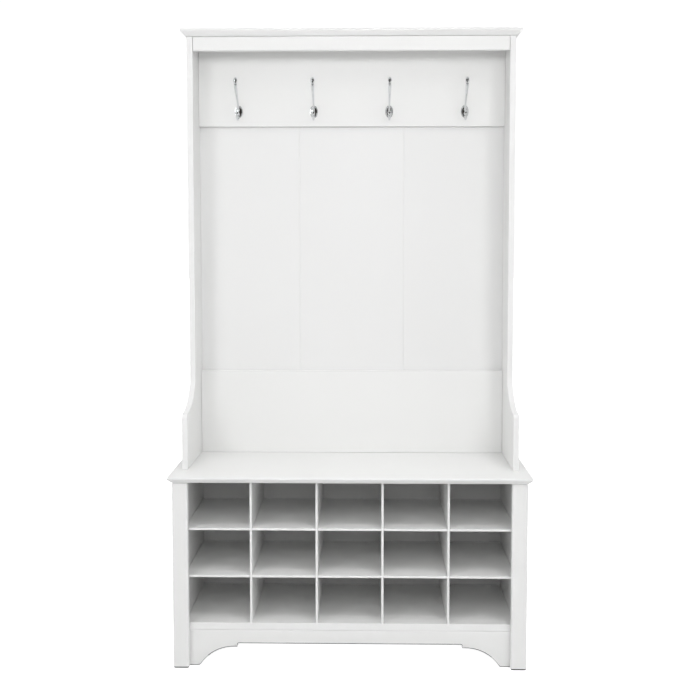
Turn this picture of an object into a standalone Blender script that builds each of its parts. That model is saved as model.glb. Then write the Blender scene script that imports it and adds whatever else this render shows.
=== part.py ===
"""A white hall tree: a bench of fifteen cubbies, a tall back with swept arms, and a rail of four coat hooks.

Metres. It stands on Z = 0, its footprint is centred on X and Y, and its front faces -Y.
"""

import math

import bmesh
import bpy
from mathutils import Matrix

# Boards
BOARD = 0.016
THICK_BOARD = 0.019
DIVIDER = 0.006
THIN_BACK = 0.003
GAP = 0.0003
EASE = 0.0008
NOSE_EASE = 0.0016

# Whole object
DEPTH = 0.368
HEIGHT = 1.750
SEAT_WIDTH = 0.978
SEAT_TOP = 0.5253
BASE_WIDTH = 0.954
HUTCH_WIDTH = 0.927
CROWN_WIDTH = 0.958

# Bench base, with set-backs measured from the seat's front edge
SEAT_CHAMFER = 0.011
STILE_SETBACK = 0.012
STILE_WIDTH = 0.043
STILE_THICK = 0.021
BOTTOM_SHELF_TOP = 0.1193
SHELF_UNDERSIDES = (0.2453, 0.3747)
SHELF_END_GAP = 0.0008
SHELF_BACK_GAP = 0.0015
DIVIDER_PITCH = 0.178
DIVIDERS = 4
APRON_EDGE = 0.0615
FOOT_LENGTH = 0.026
BRACKET_TOP = 0.052
BRACKET_RADIUS = 0.112
BRACKET_END = 0.129
STEP_RADIUS = 0.004
FOOT_RAIL_HEIGHT = 0.060

# Hutch
HUTCH_SETBACK = 0.242
ARM_SETBACK = 0.100
ARM_TOP = 0.682
ARM_RADIUS = 0.014
COVE_RADII = (0.150, 0.060)
FASCIA_HEIGHT = 0.040
FASCIA_END_GAP = 0.0008
HOOK_RAIL_HEIGHT = 0.241
LOWER_RAIL_HEIGHT = 0.245
BACK_SEAM = 0.1535
CROWN_CHAMFER = 0.0125

# Hooks, with the plate's centre as their origin and -Y pointing away from the rail
HOOKS = 4
HOOK_PITCH = 0.220
HOOK_HEIGHT = 1.532
PLATE_SIZE = (0.0110, 0.0050, 0.0180)
UPPER_PRONG = ((0.003, 0.005, 0.0028), (0.014, 0.012, 0.0024), (0.034, 0.029, 0.0026),
               (0.060, 0.050, 0.0035), (0.075, 0.065, 0.0042), (0.079, 0.076, 0.0040))
UPPER_KNOB = (0.0790, 0.0785, 0.0055, 0.0100)
LOWER_PRONG = ((0.0035, -0.007, 0.0028), (0.012, -0.020, 0.0030), (0.027, -0.0255, 0.0030),
               (0.040, -0.0210, 0.0032), (0.0455, -0.012, 0.0034))
LOWER_KNOB = (0.0460, -0.0085, 0.0056, 0.0060)

# Hook screws: the head's seat lies this far in front of the rail, and the drills run past the casting
SCREW_OFFSET = 0.0138
SCREW_HEAD = 0.0030
SCREW_CROWN = 0.0018
SCREW_RISE = 0.0017
SCREW_SHOULDER = 0.0014
SCREW_RIM = 0.0006
SCREW_SHANK = 0.0017
SCREW_LENGTH = 0.015
SCREW_TIP = 0.004
HEAD_SEAT = 0.0020
DRILL_FRONT = 0.008
DRILL_BACK = 0.005
DRILL_SIDES = 12

# Dowels, with their places measured from the end or the edge of the board that they enter
DOWEL_RADIUS = 0.004
DOWEL_SIDES = 10
SEAT_DOWEL_REACH = 0.018
SEAT_DOWEL_FRONT = 0.045
SEAT_DOWEL_BACK = 0.060
CROWN_DOWEL_INSET = 0.038
CROWN_DOWEL_DOWN = 0.020
CROWN_DOWEL_UP = 0.011
RAIL_DOWEL_OUTER = 0.010
RAIL_DOWEL_INNER = 0.022
HOOK_RAIL_DOWELS = (0.195, 0.045)
LOWER_RAIL_DOWELS = (0.045, 0.200)
SHELF_DOWEL_INSET = 0.055

# Places worked out from the sizes above
BACK = DEPTH / 2
FRONT = -DEPTH / 2
CARCASS_BACK = BACK - THIN_BACK - 2 * GAP
STILE_FRONT = FRONT + STILE_SETBACK
CARCASS_FRONT = STILE_FRONT + STILE_THICK + GAP
SEAT_UNDER = SEAT_TOP - BOARD
BASE_TOP = SEAT_UNDER - GAP
HUTCH_FOOT = SEAT_TOP + GAP
CROWN_UNDER = HEIGHT - THICK_BOARD
HUTCH_TOP = CROWN_UNDER - GAP
HUTCH_INNER = HUTCH_WIDTH / 2 - BOARD
BAY = HUTCH_INNER - GAP
HUTCH_FRONT = FRONT + HUTCH_SETBACK
ARM_FRONT = FRONT + ARM_SETBACK
RAIL_FRONT = CARCASS_BACK - THICK_BOARD
BOTTOM_SHELF_UNDER = BOTTOM_SHELF_TOP - THICK_BOARD
SIDES = (("left", -1), ("right", 1))


def new_collection(name):
    collection = bpy.data.collections.new(name)
    bpy.context.scene.collection.children.link(collection)
    return collection


def new_material(name, colour, roughness, metallic=0.0):
    material = bpy.data.materials.new(name)
    material.use_nodes = True
    shader = material.node_tree.nodes["Principled BSDF"]
    shader.inputs["Base Color"].default_value = (*colour, 1.0)
    shader.inputs["Roughness"].default_value = roughness
    shader.inputs["Metallic"].default_value = metallic
    return material


def keep(obj, name, material, collection):
    """Names the object and puts it in its one collection, with one material."""
    obj.name = name
    obj.data.name = name
    obj.data.materials.clear()
    obj.data.materials.append(material)
    for held in list(obj.users_collection):
        held.objects.unlink(obj)
    collection.objects.link(obj)
    return obj


def ease_edges(obj, width=EASE, segments=1):
    bevel = obj.modifiers.new("eased edges", "BEVEL")
    bevel.width = width
    bevel.segments = segments
    bevel.limit_method = "ANGLE"
    bevel.angle_limit = math.radians(40)
    return obj


def cube(low, high):
    """A box between two corners, with its scale applied."""
    centre = [(a + b) / 2 for a, b in zip(low, high)]
    bpy.ops.mesh.primitive_cube_add(size=1, location=centre)
    obj = bpy.context.object
    obj.scale = [b - a for a, b in zip(low, high)]
    bpy.ops.object.transform_apply(location=False, rotation=False, scale=True)
    return obj


def board(name, low, high, material):
    return ease_edges(keep(cube(low, high), name, material, PARTS))


def moulded_board(name, low, high, chamfer, material):
    """A board whose underside is chamfered along its front and two ends."""
    obj = cube(low, high)
    shape = bmesh.new()
    shape.from_mesh(obj.data)
    lower = [edge for edge in shape.edges if all(vert.co.z < 0 for vert in edge.verts)]
    moulded = [edge for edge in lower if not all(vert.co.y > 0 for vert in edge.verts)]
    bmesh.ops.bevel(shape, geom=moulded, offset=chamfer, segments=1, affect="EDGES", profile=0.5)
    shape.to_mesh(obj.data)
    shape.free()
    keep(obj, name, material, PARTS)
    return ease_edges(obj, NOSE_EASE, segments=2)


def welded_mesh(obj, name):
    """Takes the evaluated shape as a plain mesh object with its caps welded, and removes the original."""
    graph = bpy.context.evaluated_depsgraph_get()
    mesh = bpy.data.meshes.new_from_object(obj.evaluated_get(graph))
    shape = bmesh.new()
    shape.from_mesh(mesh)
    bmesh.ops.remove_doubles(shape, verts=shape.verts, dist=1e-6)
    bmesh.ops.dissolve_limit(shape, angle_limit=0.001, verts=shape.verts, edges=shape.edges)
    shape.to_mesh(mesh)
    shape.free()
    solid = bpy.data.objects.new(name, mesh)
    bpy.context.scene.collection.objects.link(solid)
    solid.matrix_world = obj.matrix_world.copy()
    bpy.data.objects.remove(obj)
    return solid


# Each turns a flat outline so that its thickness runs along one world axis.
ACROSS = {
    "X": Matrix(((0, 0, 1), (1, 0, 0), (0, 1, 0))),
    "Y": Matrix(((1, 0, 0), (0, 0, -1), (0, 1, 0))),
    "Z": Matrix.Identity(3),
}


def outline_board(name, outline, middle, thickness, axis, material):
    """A board cut to an outline. The outline gives the other two coordinates, in X, Y, Z order."""
    curve = bpy.data.curves.new(name, "CURVE")
    curve.dimensions = "2D"
    curve.fill_mode = "BOTH"
    curve.extrude = thickness / 2
    spline = curve.splines.new("POLY")
    spline.points.add(len(outline) - 1)
    for point, (first, second) in zip(spline.points, outline):
        point.co = (first, second, 0, 1)
    spline.use_cyclic_u = True
    flat = bpy.data.objects.new(name, curve)
    bpy.context.scene.collection.objects.link(flat)
    flat.matrix_world = ACROSS[axis].to_4x4()
    flat.location["XYZ".index(axis)] = middle
    bpy.context.view_layer.update()
    solid = keep(welded_mesh(flat, name), name, material, PARTS)
    return ease_edges(solid)


def arc(centre, radius, start, end, steps):
    """Points along an arc, from the start angle to the end angle in degrees, both ends included."""
    angles = [math.radians(start + (end - start) * i / steps) for i in range(steps + 1)]
    return [(centre[0] + radius * math.cos(a), centre[1] + radius * math.sin(a)) for a in angles]


def cutter(obj, name):
    obj.name = name
    for held in list(obj.users_collection):
        held.objects.unlink(obj)
    CUTTERS.objects.link(obj)
    obj.hide_render = True
    obj.display_type = "WIRE"
    return obj


def cut(target, tool):
    boolean = target.modifiers.new(f"cut {tool.name}", "BOOLEAN")
    boolean.operation = "DIFFERENCE"
    boolean.solver = "EXACT"
    boolean.object = tool


def cylinder(radius, start, end, sides):
    """A closed cylinder between two points that differ along one axis."""
    axis = max(range(3), key=lambda i: abs(end[i] - start[i]))
    turn = ((0, math.pi / 2, 0), (math.pi / 2, 0, 0), (0, 0, 0))[axis]
    middle = [(a + b) / 2 for a, b in zip(start, end)]
    length = abs(end[axis] - start[axis])
    bpy.ops.mesh.primitive_cylinder_add(
        vertices=sides, radius=radius, depth=length, location=middle, rotation=turn)
    return bpy.context.object


def turned(name, profile, steps, material):
    """A solid turned about Z from (radius, height) points that run from its top to its foot."""
    mesh = bpy.data.meshes.new(name)
    points = [(radius, 0, height) for radius, height in profile]
    mesh.from_pydata(points, [(i, i + 1) for i in range(len(points) - 1)], [])
    obj = bpy.data.objects.new(name, mesh)
    bpy.context.scene.collection.objects.link(obj)
    screw = obj.modifiers.new("turned", "SCREW")
    screw.steps = steps
    screw.render_steps = steps
    screw.use_merge_vertices = True
    screw.merge_threshold = 1e-5
    screw.use_smooth_shade = False
    return keep(obj, name, material, PARTS)


def smooth_round(obj, degrees=35):
    obj.data.shade_smooth()
    obj.data.set_sharp_from_angle(angle=math.radians(degrees))
    return obj


def make_crown():
    low = (-CROWN_WIDTH / 2, HUTCH_FRONT - (CROWN_WIDTH - HUTCH_WIDTH) / 2, CROWN_UNDER)
    return moulded_board("crown_board", low, (CROWN_WIDTH / 2, BACK, HEIGHT), CROWN_CHAMFER, LAMINATE)


def make_fascia():
    half = HUTCH_INNER - FASCIA_END_GAP
    low = (-half, HUTCH_FRONT, HUTCH_TOP - FASCIA_HEIGHT)
    return board("fascia_rail", low, (half, HUTCH_FRONT + BOARD, HUTCH_TOP), LAMINATE)


def hutch_outline():
    """The hutch side as (y, z): straight back, rounded arm, a cove of two radii, then straight up."""
    corner = arc((ARM_FRONT + ARM_RADIUS, ARM_TOP - ARM_RADIUS), ARM_RADIUS, 180, 90, 4)
    large, small = COVE_RADII
    reach = HUTCH_FRONT - ARM_FRONT - ARM_RADIUS
    turn = math.degrees(math.asin((reach - small) / (large - small)))
    lower = arc((ARM_FRONT + ARM_RADIUS, ARM_TOP + large), large, -90, turn - 90, 8)
    small_centre = (HUTCH_FRONT - small, lower[-1][1] + small * math.cos(math.radians(turn)))
    upper = arc(small_centre, small, turn - 90, 0, 5)
    corners = [(CARCASS_BACK, HUTCH_TOP), (CARCASS_BACK, HUTCH_FOOT), (ARM_FRONT, HUTCH_FOOT)]
    return corners + corner + lower[1:] + upper[1:] + [(HUTCH_FRONT, HUTCH_TOP)]


def make_hutch_sides():
    middle = HUTCH_WIDTH / 2 - BOARD / 2
    outline = hutch_outline()
    return {side: outline_board(f"hutch_side_{side}", outline, sign * middle, BOARD, "X", LAMINATE)
            for side, sign in SIDES}


def make_rails():
    hook_rail = board("hook_rail", (-BAY, RAIL_FRONT, HUTCH_TOP - HOOK_RAIL_HEIGHT),
                      (BAY, CARCASS_BACK, HUTCH_TOP), LAMINATE)
    lower_rail = board("lower_back_rail", (-BAY, RAIL_FRONT, HUTCH_FOOT),
                       (BAY, CARCASS_BACK, HUTCH_FOOT + LOWER_RAIL_HEIGHT), LAMINATE)
    return hook_rail, lower_rail


def make_back_panels():
    edges = (-HUTCH_WIDTH / 2, -BACK_SEAM, BACK_SEAM, HUTCH_WIDTH / 2)
    for place, left, right in zip(("left", "centre", "right"), edges, edges[1:]):
        low = (left + GAP, CARCASS_BACK + GAP, HUTCH_FOOT)
        board(f"back_panel_{place}", low, (right - GAP, BACK - GAP, HUTCH_TOP), BACKING)
    low = (-BASE_WIDTH / 2, CARCASS_BACK + GAP, BOTTOM_SHELF_UNDER)
    board("base_back_panel", low, (BASE_WIDTH / 2, BACK - GAP, BASE_TOP), BACKING)


def make_seat():
    low = (-SEAT_WIDTH / 2, FRONT, SEAT_UNDER)
    return moulded_board("seat_board", low, (SEAT_WIDTH / 2, BACK, SEAT_TOP), SEAT_CHAMFER, LAMINATE)


def make_base_sides():
    """Each side is a load-bearing board under the hutch side, a cladding board outside and a stile."""
    bearing = {}
    for side, sign in SIDES:
        spans = {
            "base_side": (HUTCH_INNER, HUTCH_INNER + BOARD, CARCASS_FRONT, CARCASS_BACK),
            "base_cladding": (HUTCH_INNER + BOARD + GAP, BASE_WIDTH / 2, CARCASS_FRONT, CARCASS_BACK),
            "stile": (BASE_WIDTH / 2 - STILE_WIDTH, BASE_WIDTH / 2, STILE_FRONT, STILE_FRONT + STILE_THICK),
        }
        for piece, (inner, outer, front, back) in spans.items():
            left, right = sorted((sign * inner, sign * outer))
            made = board(f"{piece}_{side}", (left, front, 0), (right, back, BASE_TOP), LAMINATE)
            if piece == "base_side":
                bearing[side] = made
    return bearing


def make_dividers():
    """Upright dividers that stand on the bottom shelf, slotted from the back so that the shelves slide in."""
    back = CARCASS_BACK - SHELF_BACK_GAP
    middle = (CARCASS_FRONT + back) / 2
    foot = BOTTOM_SHELF_TOP + GAP
    for i in range(DIVIDERS):
        outline = [(CARCASS_FRONT, BASE_TOP), (CARCASS_FRONT, foot), (back, foot)]
        for under in SHELF_UNDERSIDES:
            low, high = under - GAP, under + DIVIDER + GAP
            outline += [(back, low), (middle - GAP, low), (middle - GAP, high), (back, high)]
        outline.append((back, BASE_TOP))
        x = (i - (DIVIDERS - 1) / 2) * DIVIDER_PITCH
        outline_board(f"divider_{i + 1}", outline, x, DIVIDER, "X", LAMINATE)


def make_shelves():
    """Two thin shelves, slotted from the front where the dividers run on unbroken, and the bottom shelf."""
    back = CARCASS_BACK - SHELF_BACK_GAP
    middle = (CARCASS_FRONT + back) / 2
    end = HUTCH_INNER - SHELF_END_GAP
    for place, under in zip(("lower", "upper"), SHELF_UNDERSIDES):
        outline = [(end, back), (-end, back), (-end, CARCASS_FRONT)]
        for i in range(DIVIDERS):
            x = (i - (DIVIDERS - 1) / 2) * DIVIDER_PITCH
            left, right = x - DIVIDER / 2 - GAP, x + DIVIDER / 2 + GAP
            outline += [(left, CARCASS_FRONT), (left, middle), (right, middle), (right, CARCASS_FRONT)]
        outline.append((end, CARCASS_FRONT))
        outline_board(f"shelf_{place}", outline, under + DIVIDER / 2, DIVIDER, "Z", LAMINATE)
    low = (-BAY, CARCASS_FRONT, BOTTOM_SHELF_UNDER)
    return board("bottom_shelf", low, (BAY, CARCASS_BACK, BOTTOM_SHELF_TOP), LAMINATE)


def make_apron():
    """The shaped apron: a straight edge between two stepped, curved brackets that end in feet."""
    stile_inner = BASE_WIDTH / 2 - STILE_WIDTH
    drop = BRACKET_RADIUS - BRACKET_TOP
    centre = math.sqrt(BRACKET_RADIUS**2 - drop**2) + FOOT_LENGTH - stile_inner
    foot_angle = 180 - math.degrees(math.asin(drop / BRACKET_RADIUS))
    curve = arc((centre, BRACKET_TOP - BRACKET_RADIUS), BRACKET_RADIUS, foot_angle, 90, 10)
    step = BRACKET_END - stile_inner
    rounding = arc((step + STEP_RADIUS, APRON_EDGE - STEP_RADIUS), STEP_RADIUS, 180, 90, 3)
    left = [(-BAY, BOTTOM_SHELF_UNDER - GAP), (-BAY, 0)] + curve + [(step, BRACKET_TOP)] + rounding
    outline = left + [(-x, z) for x, z in reversed(left)]
    middle = CARCASS_FRONT + BOARD / 2
    apron = outline_board("apron", outline, middle, BOARD, "Y", LAMINATE)
    low = (-BAY, CARCASS_BACK - BOARD, BOTTOM_SHELF_UNDER - GAP - FOOT_RAIL_HEIGHT)
    board("rear_foot_rail", low, (BAY, CARCASS_BACK, BOTTOM_SHELF_UNDER - GAP), LAMINATE)
    return apron


def prong(points):
    """A tapered bar bent through (reach, height, radius) points in the plane X = 0."""
    curve = bpy.data.curves.new("prong", "CURVE")
    curve.dimensions = "3D"
    curve.bevel_depth = 1.0
    curve.bevel_resolution = 1
    curve.use_fill_caps = True
    curve.resolution_u = 3
    spline = curve.splines.new("BEZIER")
    spline.bezier_points.add(len(points) - 1)
    for point, (reach, height, radius) in zip(spline.bezier_points, points):
        point.co = (0, -reach, height)
        point.radius = radius
        point.handle_left_type = "AUTO"
        point.handle_right_type = "AUTO"
    bar = bpy.data.objects.new("prong", curve)
    bpy.context.scene.collection.objects.link(bar)
    bpy.context.view_layer.update()
    return welded_mesh(bar, "prong")


def ball(centre, radii, segments, rings):
    bpy.ops.mesh.primitive_uv_sphere_add(segments=segments, ring_count=rings, radius=1, location=centre)
    obj = bpy.context.object
    obj.scale = radii
    bpy.ops.object.transform_apply(location=False, rotation=False, scale=True)
    return obj


def hook_mesh():
    """One cast hook: a domed oval plate, an upper prong with a knob and a lower prong with a ball."""
    plate = ball((0, 0, 0), PLATE_SIZE, 16, 8)
    shape = bmesh.new()
    shape.from_mesh(plate.data)
    whole = shape.verts[:] + shape.edges[:] + shape.faces[:]
    cut_plane = bmesh.ops.bisect_plane(
        shape, geom=whole, dist=1e-7, plane_co=(0, -GAP, 0), plane_no=(0, 1, 0), clear_outer=True)
    rim = [item for item in cut_plane["geom_cut"] if isinstance(item, bmesh.types.BMEdge)]
    bmesh.ops.contextual_create(shape, geom=rim)
    bmesh.ops.recalc_face_normals(shape, faces=shape.faces)
    shape.to_mesh(plate.data)
    shape.free()
    pieces = [prong(UPPER_PRONG), prong(LOWER_PRONG)]
    for reach, height, across, tall in (UPPER_KNOB, LOWER_KNOB):
        pieces.append(ball((0, -reach, height), (across, across, tall), 10, 6))
    for piece in pieces:
        union = plate.modifiers.new("join", "BOOLEAN")
        union.operation = "UNION"
        union.solver = "EXACT"
        union.object = piece
    drills = []
    for sign in (1, -1):
        height = sign * SCREW_OFFSET
        seat = (0, -HEAD_SEAT, height)
        drills.append(cylinder(SCREW_SHANK + 2 * GAP, (0, DRILL_BACK, height), seat, DRILL_SIDES))
        drills.append(cylinder(SCREW_HEAD + GAP, seat, (0, -DRILL_FRONT, height), DRILL_SIDES))
    for drill in drills:
        cut(plate, drill)
    bpy.context.view_layer.update()
    hook = welded_mesh(plate, "hook")
    for piece in pieces + drills:
        bpy.data.objects.remove(piece)
    mesh = hook.data
    mesh.name = "hook"
    bpy.data.objects.remove(hook)
    return mesh


def make_hooks(rail):
    """Four hooks in a row on the rail, each held by two screws in drilled holes."""
    mesh = hook_mesh()
    face = RAIL_FRONT
    head = HEAD_SEAT + GAP
    profile = [
        (0, head + SCREW_RISE),
        (SCREW_CROWN, head + SCREW_SHOULDER),
        (SCREW_HEAD, head + SCREW_RIM),
        (SCREW_HEAD, head),
        (SCREW_SHANK, head),
        (SCREW_SHANK, SCREW_TIP - SCREW_LENGTH),
        (0, -SCREW_LENGTH),
    ]
    for i in range(HOOKS):
        x = (i - (HOOKS - 1) / 2) * HOOK_PITCH
        hook = bpy.data.objects.new(f"hook_{i + 1}", mesh)
        bpy.context.scene.collection.objects.link(hook)
        hook.location = (x, face, HOOK_HEIGHT)
        keep(hook, f"hook_{i + 1}", CHROME, PARTS)
        smooth_round(hook)
        for place, sign in (("top", 1), ("foot", -1)):
            height = HOOK_HEIGHT + sign * SCREW_OFFSET
            screw = turned(f"hook_{i + 1}_{place}_screw", profile, DRILL_SIDES, STEEL)
            screw.location = (x, face, height)
            screw.rotation_euler = (math.pi / 2, 0, 0)
            start = (x, face - DRILL_BACK, height)
            end = (x, face + SCREW_LENGTH + 2 * GAP, height)
            hole = cylinder(SCREW_SHANK + 2 * GAP, start, end, DRILL_SIDES)
            cut(rail, cutter(hole, f"hook {i + 1} {place} pilot hole"))


def dowel(name, start, end, boards):
    """A wooden dowel between two points, in a drilled hole that runs a little past both its ends."""
    axis = max(range(3), key=lambda i: abs(end[i] - start[i]))
    half = abs(end[axis] - start[axis]) / 2
    profile = [(0, half), (DOWEL_RADIUS, half), (DOWEL_RADIUS, -half), (0, -half)]
    pin = turned(name, profile, DOWEL_SIDES, BEECH)
    pin.location = [(a + b) / 2 for a, b in zip(start, end)]
    pin.rotation_euler = ((0, math.pi / 2, 0), (math.pi / 2, 0, 0), (0, 0, 0))[axis]
    past = [(b - a) / (2 * half) * 2 * GAP for a, b in zip(start, end)]
    hole_start = [a - p for a, p in zip(start, past)]
    hole_end = [b + p for b, p in zip(end, past)]
    hole = cutter(cylinder(DOWEL_RADIUS + 2 * GAP, hole_start, hole_end, DOWEL_SIDES), f"{name} hole")
    for piece in boards:
        cut(piece, hole)


def make_dowels(crown, seat, hutch_sides, base_sides, hook_rail, lower_rail, bottom_shelf):
    """Upright dowels tie base, seat, hutch sides and crown. Level ones tie the rails and the bottom shelf."""
    middle = HUTCH_WIDTH / 2 - BOARD / 2
    rail_middle = CARCASS_BACK - THICK_BOARD / 2
    shelf_middle = (BOTTOM_SHELF_UNDER + BOTTOM_SHELF_TOP) / 2
    seat_places = {"front": ARM_FRONT + SEAT_DOWEL_FRONT, "back": CARCASS_BACK - SEAT_DOWEL_BACK}
    crown_places = {"front": HUTCH_FRONT + CROWN_DOWEL_INSET, "back": CARCASS_BACK - CROWN_DOWEL_INSET}
    shelf_places = {"front": CARCASS_FRONT + SHELF_DOWEL_INSET, "back": CARCASS_BACK - SHELF_DOWEL_INSET}
    hook_rail_heights = [HUTCH_TOP - drop for drop in HOOK_RAIL_DOWELS]
    lower_rail_heights = [HUTCH_FOOT + rise for rise in LOWER_RAIL_DOWELS]
    for side, sign in SIDES:
        hutch = hutch_sides[side]
        base = base_sides[side]
        x = sign * middle
        for place, y in seat_places.items():
            ends = (x, y, SEAT_UNDER - SEAT_DOWEL_REACH), (x, y, SEAT_TOP + SEAT_DOWEL_REACH)
            dowel(f"seat_dowel_{side}_{place}", *ends, [base, seat, hutch])
        for place, y in crown_places.items():
            ends = (x, y, CROWN_UNDER - CROWN_DOWEL_DOWN), (x, y, CROWN_UNDER + CROWN_DOWEL_UP)
            dowel(f"crown_dowel_{side}_{place}", *ends, [hutch, crown])
        outer = sign * (HUTCH_INNER + RAIL_DOWEL_OUTER)
        inner = sign * (HUTCH_INNER - RAIL_DOWEL_INNER)
        rails = (("hook_rail", hook_rail, hook_rail_heights), ("lower_rail", lower_rail, lower_rail_heights))
        for joint, rail, heights in rails:
            for place, z in zip(("foot", "top"), heights):
                ends = (inner, rail_middle, z), (outer, rail_middle, z)
                dowel(f"{joint}_dowel_{side}_{place}", *ends, [rail, hutch])
        for place, y in shelf_places.items():
            ends = (inner, y, shelf_middle), (outer, y, shelf_middle)
            dowel(f"shelf_dowel_{side}_{place}", *ends, [bottom_shelf, base])


for old in list(bpy.data.objects):
    bpy.data.objects.remove(old)
PARTS = new_collection("hall_tree")
CUTTERS = new_collection("cutters")
LAMINATE = new_material("white laminate", (0.86, 0.86, 0.855), 0.45)
BACKING = new_material("white backing board", (0.84, 0.84, 0.835), 0.55)
CHROME = new_material("chrome", (0.80, 0.81, 0.82), 0.08, 1.0)
STEEL = new_material("plated steel", (0.70, 0.71, 0.72), 0.20, 1.0)
BEECH = new_material("beech dowel", (0.62, 0.45, 0.28), 0.60)

crown_board = make_crown()
make_fascia()
side_boards = make_hutch_sides()
upper_rail, back_rail = make_rails()
make_back_panels()
seat_board = make_seat()
bearing_sides = make_base_sides()
make_dividers()
shelf_board = make_shelves()
make_apron()
make_hooks(upper_rail)
make_dowels(crown_board, seat_board, side_boards, bearing_sides, upper_rail, back_rail, shelf_board)
CUTTERS.hide_render = True
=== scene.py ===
"""Finishes a white hall tree: rounded laminate boards, chrome hooks, screws, dowels, nails and a studio.

Metres. The tree stands on Z = 0 and its front faces -Y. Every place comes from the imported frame.
"""

import math
import random

import bmesh
import bpy
from bpy.props import FloatProperty, FloatVectorProperty, PointerProperty
from mathutils import Matrix, Vector


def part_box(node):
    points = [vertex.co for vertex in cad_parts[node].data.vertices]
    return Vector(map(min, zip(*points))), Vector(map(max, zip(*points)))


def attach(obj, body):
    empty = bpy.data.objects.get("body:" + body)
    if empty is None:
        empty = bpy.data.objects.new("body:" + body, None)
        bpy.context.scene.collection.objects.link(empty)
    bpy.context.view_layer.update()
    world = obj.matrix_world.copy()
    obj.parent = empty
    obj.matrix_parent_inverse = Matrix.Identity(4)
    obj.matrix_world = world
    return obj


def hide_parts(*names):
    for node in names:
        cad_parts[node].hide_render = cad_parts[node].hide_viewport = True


bl_info = {
    "name": "Hall Tree Finisher",
    "version": (1, 0, 0),
    "blender": (4, 5, 0),
    "location": "3D View > Sidebar > Hall Tree",
    "description": "Builds the finished boards, hooks and fasteners of a hall tree on its frame",
    "category": "Object",
}

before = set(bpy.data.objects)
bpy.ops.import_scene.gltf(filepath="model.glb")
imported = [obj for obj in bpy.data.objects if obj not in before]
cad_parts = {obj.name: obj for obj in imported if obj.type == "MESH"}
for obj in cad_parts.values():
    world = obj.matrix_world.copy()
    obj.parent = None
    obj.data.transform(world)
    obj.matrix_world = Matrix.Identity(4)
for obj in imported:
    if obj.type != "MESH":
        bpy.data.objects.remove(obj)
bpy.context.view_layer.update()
BODY = "root"
X, Y, Z = range(3)
SIDES = ("left", "right")
DIVIDERS = sum(name.startswith("divider_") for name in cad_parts)
HOOKS = sum(name.startswith("hook_") and name[5:].isdigit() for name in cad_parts)


# ---------------- settings

def metres(name, description, default):
    return FloatProperty(name=name, description=description, default=default, min=0, unit="LENGTH")


def watts(name, description, default):
    return FloatProperty(name=name, description=description, default=default, min=0, unit="POWER")


def degrees(name, description, default):
    """An angle whose default is given in degrees."""
    return FloatProperty(name=name, description=description, default=math.radians(default), unit="ROTATION")


def factor(name, description, default):
    return FloatProperty(name=name, description=description, default=default)


def colour(name, description, default):
    return FloatVectorProperty(
        name=name, description=description, default=default, size=3, min=0, max=1, subtype="COLOR")


class HallTreeBoards(bpy.types.PropertyGroup):
    """Sizes of the boards that the frame's boxes don't give."""

    edge_radius: metres("Edge radius", "Rounding of a taped board edge", 0.0010)
    thin_radius: metres("Thin edge radius", "Rounding of a divider or thin shelf edge", 0.0007)
    nose_radius: metres("Nose radius", "Rounding of the seat's and the crown's edges", 0.0018)
    fascia_radius: metres("Fascia radius", "Rounding of the fascia's edges", 0.0026)
    foot_radius: metres("Foot radius", "Rounding of the edges of the apron and the stiles", 0.0046)
    tape: metres("Edge tape", "Thickness of the tape glued round a board's edge", 0.0016)
    joint: metres("Tape joint", "Width and depth of the hairline where tape and face meet", 0.00008)
    seat_chamfer: metres("Seat chamfer", "Chamfer under the seat's front and ends", 0.011)
    crown_chamfer: metres("Crown chamfer", "Chamfer under the crown's front and ends", 0.0125)
    arm_top: metres("Arm top", "Height of the arm's rounded top above the floor", 0.682)
    arm_radius: metres("Arm radius", "Rounding at the arm's upper front corner", 0.014)
    cove_large: metres("Large cove radius", "Radius of the cove just above the arm", 0.150)
    cove_small: metres("Small cove radius", "Radius where the cove meets the upright", 0.060)
    apron_edge: metres("Apron edge", "Height of the apron's straight lower edge", 0.0615)
    foot_length: metres("Bracket foot", "Flat foot of the apron beside the stile", 0.026)
    bracket_top: metres("Bracket top", "Height of the bracket's curve at its inner end", 0.052)
    bracket_radius: metres("Bracket radius", "Radius of the bracket's curve", 0.112)
    bracket_end: metres("Bracket end", "Distance from the stile to the bracket's inner end", 0.129)
    step_radius: metres("Step radius", "Rounding of the step beside the bracket", 0.004)
    nail_pitch: metres("Nail pitch", "Distance between the nails in the back panels", 0.140)


class HallTreeHooks(bpy.types.PropertyGroup):
    """Sizes of the cast hooks and their screws."""

    plate_half_width: metres("Plate half width", "Half the width of the oval plate", 0.0110)
    plate_half_height: metres("Plate half height", "Half the height of the oval plate", 0.0180)
    plate_dome: metres("Plate dome", "Rise of the plate's dome above the rail", 0.0050)
    knob_radius: metres("Knob radius", "Radius of the upper prong's knob", 0.0058)
    knob_height: metres("Knob half height", "Half the height of the upper prong's knob", 0.0100)
    ball_radius: metres("Ball radius", "Radius of the lower prong's ball", 0.0056)
    thread_pitch: metres("Thread pitch", "Rise of the screw thread in one turn", 0.0014)
    thread_depth: metres("Thread depth", "Height of the thread above the core", 0.00045)


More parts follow.
